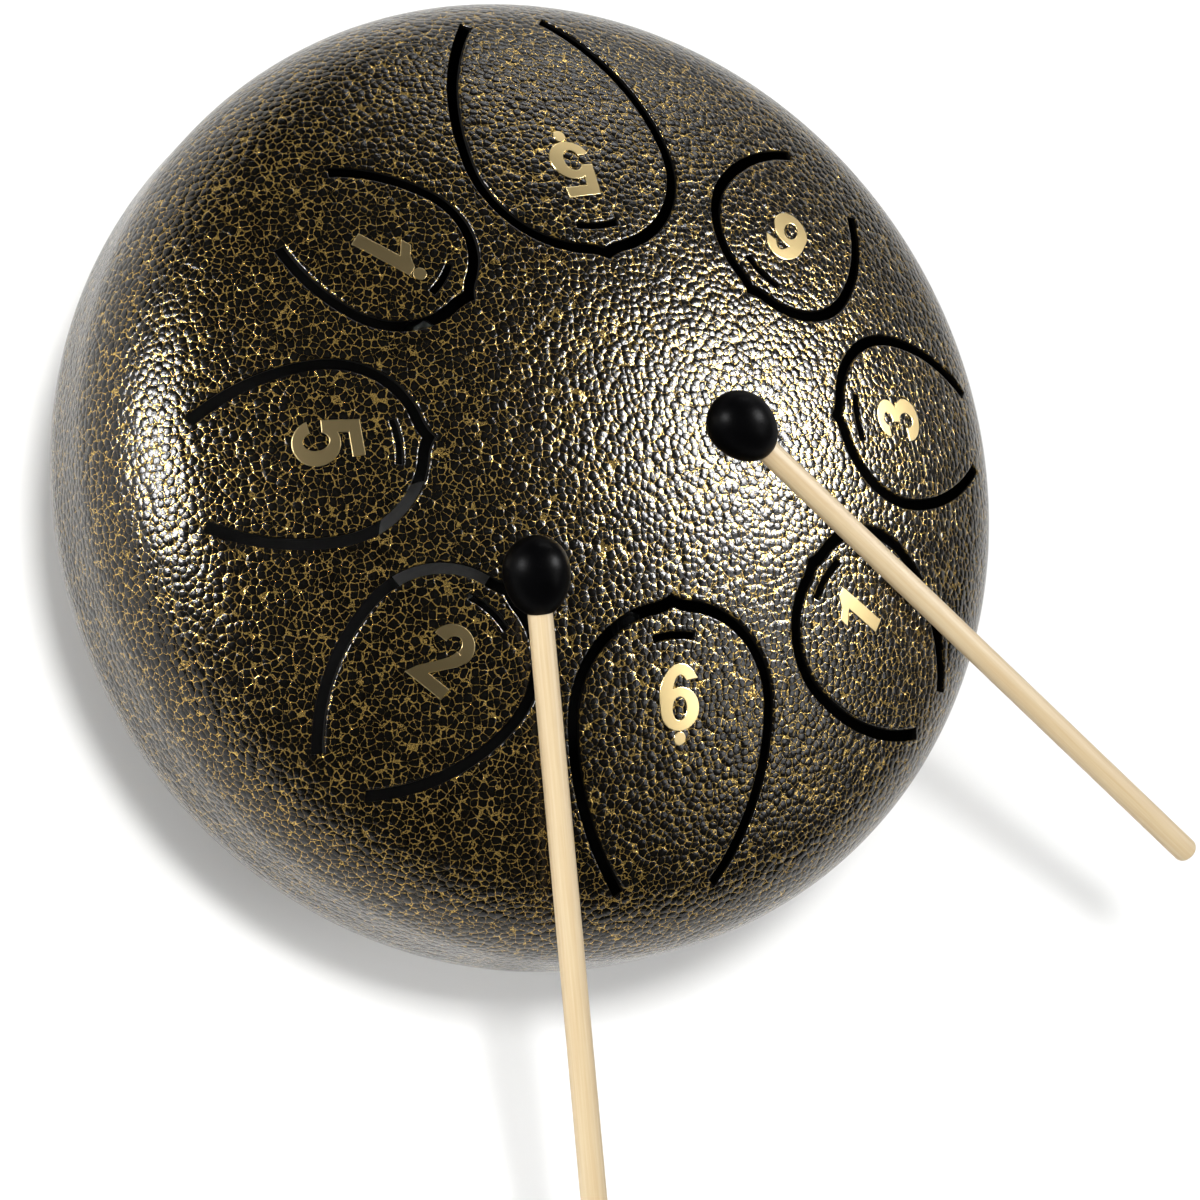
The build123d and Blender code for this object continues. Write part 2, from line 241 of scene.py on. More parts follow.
room = bpy.data.worlds.new("studio_room")
room.use_nodes = True
room.node_tree.nodes.clear()
tree = room.node_tree
height = add(tree, "ShaderNodeSeparateXYZ",
             {0: add(tree, "ShaderNodeTexCoord").outputs["Generated"]})
wall = add(tree, "ShaderNodeMapRange", {0: height.outputs["Z"], 1: 0.0, 2: 0.5, 3: 0.1, 4: 0.003},
           interpolation_type="SMOOTHSTEP")
sky = add(tree, "ShaderNodeBackground", {"Color": linear("#ffffff"), "Strength": wall})
add(tree, "ShaderNodeOutputWorld", {"Surface": sky})
bpy.context.scene.world = room

# %% [markdown]
# The table is a wide sheet of white studio paper with a fine tooth. It has hardly any
# gloss, so the lamps over the table set its brightness. It reaches far past the camera's view.

# %% Table of white studio paper
paper, tree = new_finish("white_studio_paper")
place = add(tree, "ShaderNodeTexCoord").outputs["Object"]
# fibres about 1.1 mm apart
fibre = add(tree, "ShaderNodeTexNoise", {"Vector": place, "Scale": 900.0, "Detail": 3.0})
tooth = add(tree, "ShaderNodeBump", {"Height": fibre, "Strength": 0.05, "Distance": 0.2 * MM})
surface(tree, add(tree, "ShaderNodeBsdfPrincipled",
                  {"Base Color": linear("#f2f2f1"), "Roughness": 0.9, "Specular IOR Level": 0.1,
                   "Normal": tooth}))
table_reach = 4000  # from the drum to each edge of the paper
table = mesh_piece("studio_table", [(x * table_reach, y * table_reach, 0) for x, y in
                                    ((-1, -1), (1, -1), (1, 1), (-1, 1))], [(0, 1, 2, 3)])
table.data.materials.append(paper)

# %% [markdown]
# ## Hammertone coat
# The drum is finished in an antique-gold vein coat, baked from powder. Black beads of paint
# about 2 mm across draw together as it melts, and gold flake gathers in the furrows between
# them. A cell pattern (Voronoi) has exactly that layout: the distance to a cell's edge gives
# the place of the gold, and the distance to its middle gives each bead its dome and its duller
# top. Noise bends the cells, because real ones are uneven, and breaks the gold lines up.

# %% The hammertone coat
bead_size = 1.85 * MM  # across one bead of paint
flake_size = 0.35 * MM  # of the gold flakes
bead_height = 0.14 * MM  # of the relief from furrow to dome
bead_sway = 0.75 * bead_size  # how far noise bends the cells
unevenness = 0.85  # of the beads' places


def hammertone_coat(name, gold, bead):
    """Glossy black beads with gold flake between them."""
    material, tree = new_finish(name)
    place = add(tree, "ShaderNodeTexCoord").outputs["Object"]
    sway = add(tree, "ShaderNodeTexNoise",
               {"Vector": place, "Scale": 0.6 / bead_size, "Detail": 4.0, "Roughness": 0.75})
    centred = add(tree, "ShaderNodeVectorMath", {0: sway.outputs["Color"], 1: (0.5, 0.5, 0.5)},
                  operation="SUBTRACT")
    bent = add(tree, "ShaderNodeVectorMath", {0: centred, 1: (bead_sway,) * 3, 2: place},
               operation="MULTIPLY_ADD")
    cells = {"Vector": bent, "Scale": 1 / bead_size, "Randomness": unevenness}
    furrow = add(tree, "ShaderNodeTexVoronoi", cells, feature="DISTANCE_TO_EDGE")
    bead_middle = add(tree, "ShaderNodeTexVoronoi", cells).outputs["Distance"]
    flake = add(tree, "ShaderNodeTexNoise",
                {"Vector": place, "Scale": 1 / flake_size, "Detail": 2.0})
    gaps = add(tree, "ShaderNodeTexNoise",
               {"Vector": place, "Scale": 0.8 / bead_size, "Detail": 2.0})
    # the gold lies at the furrow's floor: in blobs where three beads meet, thin between two
    reach = add(tree, "ShaderNodeMapRange", {0: bead_middle, 1: 0.3, 2: 0.7, 3: 0.015, 4: 0.078})
    plenty = add(tree, "ShaderNodeMapRange", {0: gaps, 1: 0.36, 2: 0.66, 3: 0.1, 4: 1.1})
    width = add(tree, "ShaderNodeMath", {0: reach, 1: plenty}, operation="MULTIPLY")
    near = add(tree, "ShaderNodeMath", {0: furrow, 1: width}, operation="DIVIDE")
    line = add(tree, "ShaderNodeMapRange", {0: near, 1: 0.35, 2: 1.25, 3: 1.0, 4: 0.0},
               interpolation_type="SMOOTHSTEP")
    # the flakes' own grain breaks the line up
    speck = add(tree, "ShaderNodeMapRange", {0: flake, 1: 0.37, 2: 0.56})
    vein = add(tree, "ShaderNodeMath", {0: line, 1: speck}, operation="MULTIPLY")
    tone = add(tree, "ShaderNodeMix", {"Factor": flake, 6: linear(gold[0]), 7: linear(gold[1])},
               data_type="RGBA")
    paint = add(tree, "ShaderNodeMix", {"Factor": gaps, 6: linear(bead[0]), 7: linear(bead[1])},
                data_type="RGBA")
    colour = add(tree, "ShaderNodeMix", {"Factor": vein, 6: paint.outputs[2], 7: tone.outputs[2]},
                 data_type="RGBA")
    # a bead's height falls with the square of the distance from its middle, with a slight ripple
    dome = add(tree, "ShaderNodeMath", {0: bead_middle, 1: bead_middle}, operation="MULTIPLY")
    dome = add(tree, "ShaderNodeMath", {0: dome, 1: -2.2, 2: 1.0}, operation="MULTIPLY_ADD")
    ripple = add(tree, "ShaderNodeTexNoise",
                 {"Vector": place, "Scale": 2.2 / bead_size, "Detail": 2.0})
    relief = add(tree, "ShaderNodeMath", {0: ripple, 1: 0.35, 2: dome}, operation="MULTIPLY_ADD")
    bump = add(tree, "ShaderNodeBump", {"Height": relief, "Strength": 1.0, "Distance": bead_height})
    # the beads are duller on top, and glossy where they dip into the furrows
    gloss = add(tree, "ShaderNodeMapRange", {0: bead_middle, 1: 0.1, 2: 0.4, 3: 0.27, 4: 0.16})
    metal = add(tree, "ShaderNodeMath", {0: vein, 1: 0.88}, operation="MULTIPLY")
    surface(tree, add(tree, "ShaderNodeBsdfPrincipled",
                      {"Base Color": colour.outputs[2], "Metallic": metal, "Roughness": gloss,
                       "Specular IOR Level": 0.3, "Normal": bump}))
    return material


coat = hammertone_coat("antique_gold_hammertone_powder_coat", ("#7d6226", "#f2cc74"),
                       ("#060504", "#0e0c09"))
print("beads per 10 mm:", round(10 * MM / bead_size, 1))

# %% [markdown]
# ## Other finishes
# The numerals are stickers of gold foil under a clear film: a smooth metal with a faint
# brushed grain. The inside of the shells and the cut walls of the slots only get a thin black
# primer, which is why the slots look so dark. Mallet heads and feet are moulded rubber, matt
# with a little bloom. The fasteners are zinc-plated steel with a fine crystal pattern.

# %% Gold foil, rubber and zinc
foil, tree = new_finish("brushed_gold_foil")
place = add(tree, "ShaderNodeTexCoord").outputs["Object"]
# brush marks 5 mm long and 0.7 mm wide: finer ones would be too small to see
stretch = add(tree, "ShaderNodeMapping", {"Vector": place, "Scale": (200.0, 1500.0, 200.0)})
brushing = add(tree, "ShaderNodeTexNoise", {"Vector": stretch, "Scale": 1.0, "Detail": 2.0})
brushed = add(tree, "ShaderNodeMapRange", {0: brushing, 3: 0.29, 4: 0.31})
lines = add(tree, "ShaderNodeBump", {"Height": brushing, "Strength": 0.02, "Distance": 0.02 * MM})
surface(tree, add(tree, "ShaderNodeBsdfPrincipled",
                  {"Base Color": linear("#dcc48e"), "Metallic": 1.0, "Roughness": brushed,
                   "Normal": lines}))


def moulded_rubber(name, shade, grain, roughness):
    """Matt rubber with the fine pits of its mould and a slight bloom."""
    material, tree = new_finish(name)
    place = add(tree, "ShaderNodeTexCoord").outputs["Object"]
    pits = add(tree, "ShaderNodeTexNoise", {"Vector": place, "Scale": 1 / grain, "Detail": 3.0})
    # the bloom comes in clouds of about 7 mm
    bloom = add(tree, "ShaderNodeTexNoise", {"Vector": place, "Scale": 140.0, "Detail": 3.0})
    colour = add(tree, "ShaderNodeMix", {"Factor": bloom, 6: linear(shade[0]), 7: linear(shade[1])},
                 data_type="RGBA")
    matt = add(tree, "ShaderNodeMapRange", {0: bloom, 3: roughness - 0.08, 4: roughness + 0.08})
    skin = add(tree, "ShaderNodeBump", {"Height": pits, "Strength": 0.35, "Distance": 0.06 * MM})
    surface(tree, add(tree, "ShaderNodeBsdfPrincipled",
                      {"Base Color": colour.outputs[2], "Roughness": matt, "Normal": skin,
                       "Specular IOR Level": 0.025}))
    return material


primer, tree = new_finish("black_primer")
place = add(tree, "ShaderNodeTexCoord").outputs["Object"]
# specks of dust of 0.7 mm in the primer
dust = add(tree, "ShaderNodeTexNoise", {"Vector": place, "Scale": 1500.0, "Detail": 2.0})
flat_black = add(tree, "ShaderNodeMix",
                 {"Factor": dust, 6: linear("#050505"), 7: linear("#0c0b0a")}, data_type="RGBA")
specks = add(tree, "ShaderNodeBump", {"Height": dust, "Strength": 0.3, "Distance": 0.05 * MM})
surface(tree, add(tree, "ShaderNodeBsdfPrincipled",
                  {"Base Color": flat_black.outputs[2], "Roughness": 0.6,
                   "Specular IOR Level": 0.15, "Normal": specks}))

head_rubber = moulded_rubber("moulded_black_rubber", ("#020202", "#050506"), 0.5 * MM, 0.36)
foot_rubber = moulded_rubber("ribbed_foot_rubber", ("#0b0b0b", "#171717"), 0.4 * MM, 0.7)

zinc, tree = new_finish("zinc_plated_steel")
place = add(tree, "ShaderNodeTexCoord").outputs["Object"]
# zinc crystals of 0.8 mm
spangle = add(tree, "ShaderNodeTexVoronoi", {"Vector": place, "Scale": 1 / (0.8 * MM)})
tint = add(tree, "ShaderNodeMix", {"Factor": spangle.outputs["Distance"], 6: linear("#a9adb0"),
                                   7: linear("#c8c9c4")}, data_type="RGBA")
haze = add(tree, "ShaderNodeMapRange", {0: spangle.outputs["Distance"], 3: 0.28, 4: 0.42})
surface(tree, add(tree, "ShaderNodeBsdfPrincipled",
                  {"Base Color": tint.outputs[2], "Metallic": 1.0, "Roughness": haze}))
print("finishes:", [m.name for m in bpy.data.materials])

# %% [markdown]
# The sticks are birch, sanded and left bare, which has a straight, close grain. Its lines follow
# the stick, so the pattern reads a vector attribute that each stick carries: two numbers across
# the stick and one along it. Squeezing the pattern along the third draws it out into fibres.

# %% Birch
birch, tree = new_finish("sanded_birch")
along = add(tree, "ShaderNodeAttribute", attribute_name="grain").outputs["Vector"]
# fibres 0.6 mm thick and 33 mm long
fibres = add(tree, "ShaderNodeMapping", {"Vector": along, "Scale": (1600.0, 1600.0, 30.0)})
fine = add(tree, "ShaderNodeTexNoise",
           {"Vector": fibres, "Scale": 1.0, "Detail": 4.0, "Roughness": 0.6})
# growth rings 2.4 to 3.8 mm apart, which run the length of the stick
rings = add(tree, "ShaderNodeMapping", {"Vector": along, "Scale": (420.0, 260.0, 5.0)})
growth = add(tree, "ShaderNodeTexNoise", {"Vector": rings, "Scale": 1.0, "Detail": 2.0,
                                          "Distortion": 0.6})
pale = add(tree, "ShaderNodeMix", {"Factor": growth, 6: linear("#d3c2a0"), 7: linear("#c3ac85")},
           data_type="RGBA")
streak = add(tree, "ShaderNodeMapRange", {0: fine, 1: 0.35, 2: 0.75, 3: 0.0, 4: 0.55})
wood = add(tree, "ShaderNodeMix", {"Factor": streak, 6: pale.outputs[2], 7: linear("#b8976a")},
           data_type="RGBA")
pores = add(tree, "ShaderNodeBump", {"Height": fine, "Strength": 0.35, "Distance": 0.05 * MM})
surface(tree, add(tree, "ShaderNodeBsdfPrincipled",
                  {"Base Color": wood.outputs[2], "Roughness": 0.52, "Normal": pores}))
print("birch:", len(tree.nodes), "nodes")

# %% [markdown]
# ## The dish
# Each shell is pressed from flat sheet: a spherical crown, a knuckle of smaller radius and a
# short straight rim. A lathe section would give the same surface, but not one with slots in
# it. So the work goes as in the workshop: a flat blank is cut out first, and a node tree then
# presses it over a die. The die is half of the section as a curve. A point of the blank goes
# to the place on that curve that lies as far from the pole, and keeps its direction.

# %% Section of the die
drum_radius = 127.0
sheet = 1.5  # thickness of the steel
crown_radius = 224.0
knuckle_radius = 38.0
rim_height = 8.5  # of the straight part
weld_depth = 1.0  # of the groove between the two rims

knuckle_x = drum_radius - knuckle_radius
crown_centre = rim_height - sqrt((crown_radius - knuckle_radius) ** 2 - knuckle_x**2)
crown_angle = asin(knuckle_x / (crown_radius - knuckle_radius))
crown_run = crown_radius * crown_angle
knuckle_run = knuckle_radius * (pi / 2 - crown_angle)
blank_radius = crown_run + knuckle_run + rim_height
seam_height = (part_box("seam_weld")[0].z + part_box("seam_weld")[1].z) / 2 / MM


def die_point(run):
    """The section's place at a distance from the pole, measured along the steel."""
    if run < crown_run:
        turn = run / crown_radius
        return crown_radius * sin(turn), 0, crown_centre + crown_radius * cos(turn)
    turn = min(crown_angle + (run - crown_run) / knuckle_radius, pi / 2)
    drop = max(0.0, run - crown_run - knuckle_run)
    return (knuckle_x + knuckle_radius * sin(turn), 0,
            rim_height + knuckle_radius * cos(turn) - drop)


die_steps = 640
runs = [blank_radius * i / die_steps for i in range(die_steps + 1)]
die_mesh = bpy.data.meshes.new("die_section")
die_mesh.from_pydata([Vector(die_point(run)) * MM for run in runs],
                     [(i, i + 1) for i in range(die_steps)], [])
die = bpy.data.objects.new("die_section", die_mesh)
bpy.context.scene.collection.objects.link(die)
print(f"blank: {2 * blank_radius:.1f} mm across, dish: {die_point(0)[2]:.1f} mm high")

# %% [markdown]
# In the tree, the blank's height is the depth in the sheet: nought on the outside face and
# minus the sheet's thickness on the inside. The curve's tangent gives the steel's upright, so
# both faces come out the right distance apart. The lower shell is the same pressing turned
# over, which a half turn does without turning it inside out. The depth is kept on each face:
# what lies deeper than the coat reaches gets the inner finish.

# %% The pressing tree
press, given = new_tree("press_over_die", {
    "Die": "Object", "Half turn": "Float", "Seam height": "Float", "Coated depth": "Float",
    "Finish": "Material", "Inner finish": "Material"})
flat = add(press, "ShaderNodeSeparateXYZ", {0: add(press, "GeometryNodeInputPosition")})
level = add(press, "ShaderNodeCombineXYZ", {0: flat.outputs["X"], 1: flat.outputs["Y"]})
run = add(press, "ShaderNodeVectorMath", {0: level}, operation="LENGTH").outputs["Value"]
bearing = add(press, "ShaderNodeVectorMath", {0: level}, operation="NORMALIZE")
die_line = add(press, "GeometryNodeObjectInfo", {"Object": given["Die"]}).outputs["Geometry"]
section = add(press, "GeometryNodeMeshToCurve", {0: die_line})
spot = add(press, "GeometryNodeSampleCurve", {"Curves": section, "Length": run}, mode="LENGTH")
spot_place = add(press, "ShaderNodeSeparateXYZ", {0: spot.outputs["Position"]})
spot_way = add(press, "ShaderNodeSeparateXYZ", {0: spot.outputs["Tangent"]})
depth = add(press, "ShaderNodeMath", {0: flat.outputs["Z"], 1: -1.0}, operation="MULTIPLY")
radius = add(press, "ShaderNodeMath", {0: depth, 1: spot_way.outputs["Z"],
                                       2: spot_place.outputs["X"]}, operation="MULTIPLY_ADD")
rise = add(press, "ShaderNodeMath", {0: flat.outputs["Z"], 1: spot_way.outputs["X"],
                                     2: spot_place.outputs["Z"]}, operation="MULTIPLY_ADD")
outward = add(press, "ShaderNodeVectorMath", {0: bearing, "Scale": radius}, operation="SCALE")
lifted = add(press, "ShaderNodeCombineXYZ", {2: rise})
marked = add(press, "GeometryNodeStoreNamedAttribute",
             {"Geometry": given["Piece"], "Name": "sheet_depth", "Value": depth},
             domain="FACE", data_type="FLOAT")
spread = add(press, "ShaderNodeVectorMath", {0: outward, 1: lifted}, operation="ADD")
pressed = add(press, "GeometryNodeSetPosition", {"Geometry": marked, "Position": spread})
placed = add(press, "GeometryNodeTransform",
             {"Geometry": pressed,
              "Translation": add(press, "ShaderNodeCombineXYZ", {2: given["Seam height"]}),
              "Rotation": add(press, "ShaderNodeCombineXYZ", {0: given["Half turn"]})})
deep = add(press, "FunctionNodeCompare",
           {0: add(press, "GeometryNodeInputNamedAttribute", {"Name": "sheet_depth"}),
            1: given["Coated depth"]}, data_type="FLOAT", operation="GREATER_THAN")
end_tree(press, placed, given["Finish"], given["Inner finish"], deep)
print("pressing tree:", len(press.nodes), "nodes")

# %% [markdown]
# ## The tongues
# A tongue is freed by one slot shaped like an onion dome: a small point towards the middle, a
# round nose, and two flanks that draw in again towards the rim. Longer tongues sound lower.
# A short slit inside the point lets the maker tune the overtone. Each outline is exact: arcs
# moved sideways by half the slot's width stay arcs, so widening an outline keeps it true.

# %% Sizes of the eight tongues
slot_width = 2.75
cusp_height = 1.5  # of the point before the nose
cusp_bend = 12.0  # radius of the hollow curve at the point
slit_width = 1.7
slit_bend = 24.0  # radius of its curve
# angle, root's inset, length, shoulder, half width there, half width at the root,
# slit's half length, slit's distance behind the point
TONGUES = [
    (-90.0, 14.5, 67.0, 26.5, 27.0, 13.0, 5.8, 8.2),
    (-42.0, 15.0, 55.0, 21.0, 23.2, 7.0, 6.2, 5.4),
    (-0.5, 17.0, 53.5, 23.5, 22.0, 10.0, 6.0, 7.2),
    (42.0, 29.0, 49.0, 22.0, 21.8, 11.5, 5.6, 6.9),
    (94.0, 14.0, 70.5, 28.0, 27.6, 10.7, 5.8, 7.7),
    (141.0, 31.5, 43.0, 20.0, 19.2, 12.3, 4.6, 7.4),
    (181.5, 19.0, 51.5, 23.0, 21.6, 12.8, 5.6, 7.2),
    (223.5, 15.0, 54.5, 21.8, 22.5, 7.6, 6.0, 6.4),
]
arc_pitch = 0.8  # between the points of an outline


def arc(centre, radius, start, end, steps):
    """Points of a circular arc between two angles."""
    angles = [start + (end - start) * i / steps for i in range(steps + 1)]
    return [(centre[0] + radius * cos(a), centre[1] + radius * sin(a)) for a in angles]


def turned(points, angle):
    """Points turned about the drum's axis."""
    c = cos(radians(angle))
    s = sin(radians(angle))
    return [(x * c - y * s, x * s + y * c) for x, y in points]


# %% [markdown]
# Half a slot is three arcs that touch smoothly: a hollow one at the point, the round nose and
# the long flank. The other half is its mirror image. A slit is one arc inside the point.

# %% Outlines of slot and slit
def slot_side(tongue, shift, past):
    """One side of a slot from its point to its root, moved outwards by shift."""
    _, inset, length, shoulder, half_width, half_root, _, _ = tongue
    tip = drum_radius - inset - length
    wide = (tip + shoulder, half_width)
    nose_radius = ((shoulder - cusp_height) ** 2 + half_width**2) / (2 * half_width)
    nose = (wide[0], half_width - nose_radius)
    draw_in = half_width - half_root
    flank_radius = ((length - shoulder) ** 2 + draw_in**2) / (2 * draw_in)
    flank = (wide[0], half_width - flank_radius)
    apart = hypot(nose[0] - tip, nose[1])
    along = (cusp_bend**2 - (nose_radius + cusp_bend) ** 2 + apart**2) / (2 * apart)
    across = sqrt(cusp_bend**2 - along**2)
    way = ((nose[0] - tip) / apart, nose[1] / apart)
    hollow = (tip + way[0] * along - way[1] * across, way[1] * along + way[0] * across)
    bend = cusp_bend - shift
    start = asin(-hollow[1] / bend)
    touch = atan2(nose[1] - hollow[1], nose[0] - hollow[0])
    root = asin((length - shoulder) / flank_radius)
    cusp_steps = 8
    nose_steps = int((touch + pi / 2) * nose_radius / arc_pitch)
    flank_steps = int(root * flank_radius / arc_pitch)
    flank_end = pi / 2 - root - past / flank_radius
    return (arc(hollow, bend, start, touch, cusp_steps)[:-1]
            + arc(nose, nose_radius + shift, touch + pi, pi / 2, nose_steps)[:-1]
            + arc(flank, flank_radius + shift, pi / 2, flank_end, flank_steps))


def slot_outline(tongue, grow):
    """A slot's closed outline in plan, wider all round by grow."""
    half = slot_width / 2 + grow
    outer = slot_side(tongue, half, grow)
    inner = slot_side(tongue, -half, grow)
    mirror_outer = [(x, -y) for x, y in outer]
    mirror_inner = [(x, -y) for x, y in inner]
    loop = mirror_outer[::-1] + outer[1:] + inner[::-1] + mirror_inner[1:]
    return turned(loop[::-1], tongue[0])


def slit_outline(tongue, grow):
    """A tuning slit's closed outline in plan."""
    _, inset, length, _, _, _, half_length, behind = tongue
    half = slit_width / 2 + grow
    centre = (drum_radius - inset - length + behind + slit_bend, 0)
    reach = asin(half_length / slit_bend) + grow / slit_bend
    steps = int(2 * half_length / arc_pitch)
    loop = (arc(centre, slit_bend + half, pi + reach, pi - reach, steps)
            + arc(centre, slit_bend - half, pi - reach, pi + reach, steps))
    return turned(loop[::-1], tongue[0])


side = slot_side(TONGUES[4], 0, 0)
slot_length = 2 * sum(hypot(b[0] - a[0], b[1] - a[1]) for a, b in zip(side, side[1:]))
print(f"the longest slot runs {slot_length:.0f} mm")

# %% [markdown]
# ## Cutting the blanks
# An opening is the same in plan on both faces, because it is cut straight down. Flattening
# moves its points outwards, by less on the outside face than on the inside. Its edge is
# rounded on the outside, where the thick coat flows over it: that round edge is what catches
# the light. The flat faces are filled with even triangles by a Delaunay mesh, which keeps
# every outline as an edge. Even triangles press into an even dish.

# %% Flattening and filling
edge_round = 0.5  # radius of an opening's outer edge
edge_margin = 0.4  # of close triangles round an opening, which keeps the shading flat
grid_pitch = 2.4  # between the points that fill a blank
cut_radius = 122.0  # inside this circle the blank has openings, outside it only rings


def flattened(point, depth=0.0):
    """Where a point in plan lies on the blank, for a face at a depth in the sheet."""
    reach = hypot(*point)
    if reach < (crown_radius - depth) * sin(crown_angle):
        run = crown_radius * asin(reach / (crown_radius - depth))
    else:
        turn = asin(min(1.0, (reach - knuckle_x) / (knuckle_radius - depth)))
        run = crown_run + knuckle_radius * (turn - crown_angle)
    scale = run / reach
    return point[0] * scale, point[1] * scale


def inside(points, loops):
    """Which points lie inside an odd number of loops."""
    odd = np.zeros(len(points), bool)
    x, y = np.asarray(points).T
    for loop in loops:
        ring = np.asarray(loop)
        for (x0, y0), (x1, y1) in zip(ring, np.roll(ring, -1, axis=0)):
            crosses = (y0 > y) != (y1 > y)
            if y0 != y1:
                odd ^= crosses & (x < (x1 - x0) * (y - y0) / (y1 - y0) + x0)
    return odd


def filled(loops, keep, pitch, clear):
    """Fills a region with points and triangles: loops are kept as edges, and keep says
    which places belong to it. The last result is the number of each loop point."""
    edge_points = [p for loop in loops for p in loop]
    low = np.min(edge_points, axis=0)
    high = np.max(edge_points, axis=0)
    rows = np.arange(low[1], high[1], pitch * sqrt(3) / 2)
    grid = np.array([(x + (pitch / 2 if i % 2 else 0), y) for i, y in enumerate(rows)
                     for x in np.arange(low[0], high[0], pitch)])
    grid = grid[keep(grid)]
    fixed = np.asarray(edge_points)
    far = np.array([np.min(np.hypot(*(fixed - p).T)) > clear for p in grid], bool)
    points = edge_points + [tuple(p) for p in grid[far]] if len(grid) else edge_points
    edges = []
    start = 0
    for loop in loops:
        edges += [(start + i, start + (i + 1) % len(loop)) for i in range(len(loop))]
        start += len(loop)
    out, _, triangles, sources, _, _ = delaunay_2d_cdt([Vector(p) for p in points], edges, [],
                                                       0, 1e-7)
    flat = np.array([tuple(v) for v in out])
    middles = np.array([flat[list(t)].mean(axis=0) for t in triangles])
    kept = [t for t, ok in zip(triangles, keep(middles)) if ok]
    number_of = {given: made for made, source in enumerate(sources) for given in source}
    return flat, kept, [number_of[i] for i in range(len(edge_points))]


# %% [markdown]
# A flat piece is closed from three kinds of faces: a filled face above, another below, and
# strips between their outlines. The stickers are closed in the same way as the blanks.

# %% Faces and walls of a flat piece
def ring_strip(faces, upper, lower):
    """Joins two loops of vertex numbers with a strip of faces."""
    count = len(upper)
    for i in range(count):
        j = (i + 1) % count
        faces.append((upper[i], upper[j], lower[j], lower[i]))


def flat_face(verts, faces, loops, keep, pitch, clear, height, upwards):
    """Adds a filled face at a height, and returns the vertex numbers of its loops' points."""
    flat, triangles, on_loops = filled(loops, keep, pitch, clear)
    start = len(verts)
    verts.extend((x, y, height) for x, y in flat)
    for a, b, c in triangles:
        way = ((flat[b][0] - flat[a][0]) * (flat[c][1] - flat[a][1])
               - (flat[c][0] - flat[a][0]) * (flat[b][1] - flat[a][1]))
        order = (a, b, c) if (way > 0) == upwards else (c, b, a)
        faces.append(tuple(start + i for i in order))
    return [start + i for i in on_loops]


def walls(verts, faces, top, underside, rings):
    """Joins the outlines of two faces: rings holds (height, loops) for each ring between them."""
    before = 0
    for number in range(len(rings[0][1])):
        size = len(rings[0][1][number])
        upper = top[before:before + size]
        for height, loops in rings:
            lower = list(range(len(verts), len(verts) + size))
            verts.extend((x, y, height) for x, y in loops[number])
            ring_strip(faces, upper, lower)
            upper = lower
        ring_strip(faces, upper, underside[before:before + size])
        before += size


# %% [markdown]
# Beyond the openings a blank is plain, so its outer part is rings of long faces. They run out
# over the knuckle on the outside, round the bevelled rim and back on the inside.

# %% Blank with openings
def blank(name, openings):
    """A flat blank: openings is a list of functions that give an outline grown by a size."""
    verts = []
    faces = []
    segments = 360
    around = [(cos(2 * pi * i / segments), sin(2 * pi * i / segments)) for i in range(segments)]
    rim = [(cut_radius * x, cut_radius * y) for x, y in around]

    def face_of_sheet(cuts, margins, height, upwards):
        """Fills one face of the sheet between its openings and the rim."""
        def keep(points):
            return inside(points, cuts) ^ (np.hypot(*np.asarray(points).T) < cut_radius)
        return flat_face(verts, faces, cuts + margins + [rim], keep, grid_pitch,
                         0.45 * grid_pitch, height, upwards)

    steps = [(edge_round, 0.0)]
    for turn in (30, 60, 90):
        steps.append((edge_round * (1 - sin(radians(turn))),
                      edge_round * (1 - cos(radians(turn)))))
    steps.append((0.0, sheet))
    loops = [[[flattened(p, depth) for p in outline(grow)] for outline in openings]
             for grow, depth in steps]
    margins = [[flattened(p) for p in outline(edge_round + edge_margin)] for outline in openings]
    top = face_of_sheet(loops[0], margins, 0.0, True)
    underside = face_of_sheet(loops[-1], [], -sheet, False)
    walls(verts, faces, top, underside,
          [(-depth, step) for (_, depth), step in zip(steps[1:-1], loops[1:-1])])
    outer = top[-segments:]
    inner = underside[-segments:]
    spans = 20
    ends = [(cut_radius + (blank_radius - weld_depth - cut_radius) * i / spans, 0.0)
            for i in range(1, spans + 1)]
    ends += [(blank_radius, weld_depth), (blank_radius, sheet)]
    ends += [(cut_radius + (blank_radius - cut_radius) * i / spans, sheet)
             for i in range(spans - 1, 0, -1)]
    for reach, depth in ends:
        ring = list(range(len(verts), len(verts) + segments))
        verts.extend((reach * x, reach * y, -depth) for x, y in around)
        ring_strip(faces, ring, outer)
        outer = ring
    ring_strip(faces, inner, outer)
    return mesh_piece(name, verts, faces)


# %% [markdown]
# The upper blank takes sixteen openings, a slot and a slit for each tongue. The lower one
# takes the sound hole and three screw holes. Its outlines are mirrored, because the half turn
# of the lower pressing mirrors them back.

# %% Press both shells
sound_hole_radius = 18.0
foot_circle = 59.0  # radius on which the feet's screws stand
foot_angles = [90.0, 210.0, 330.0]
screw_hole_radius = 2.2
shell_crisp = 38  # degrees: smooth over the dish, sharp at the rim and the slots' lower edges


def press_piece(piece, finish, inner_finish, half_turn=0.0):
    """Presses a flat piece over the die and sets it at the seam's height."""
    return bake(piece, press, {"Die": die, "Half turn": half_turn,
                               "Seam height": seam_height * MM,
                               "Coated depth": 0.9 * edge_round * MM, "Finish": finish,
                               "Inner finish": inner_finish})


def round_outline(centre, radius, grow):
    """A round hole's outline, mirrored for the turned-over blank."""
    count = 96
    return [(centre[0] + (radius + grow) * cos(2 * pi * i / count),
             -centre[1] + (radius + grow) * sin(2 * pi * i / count)) for i in range(count)]


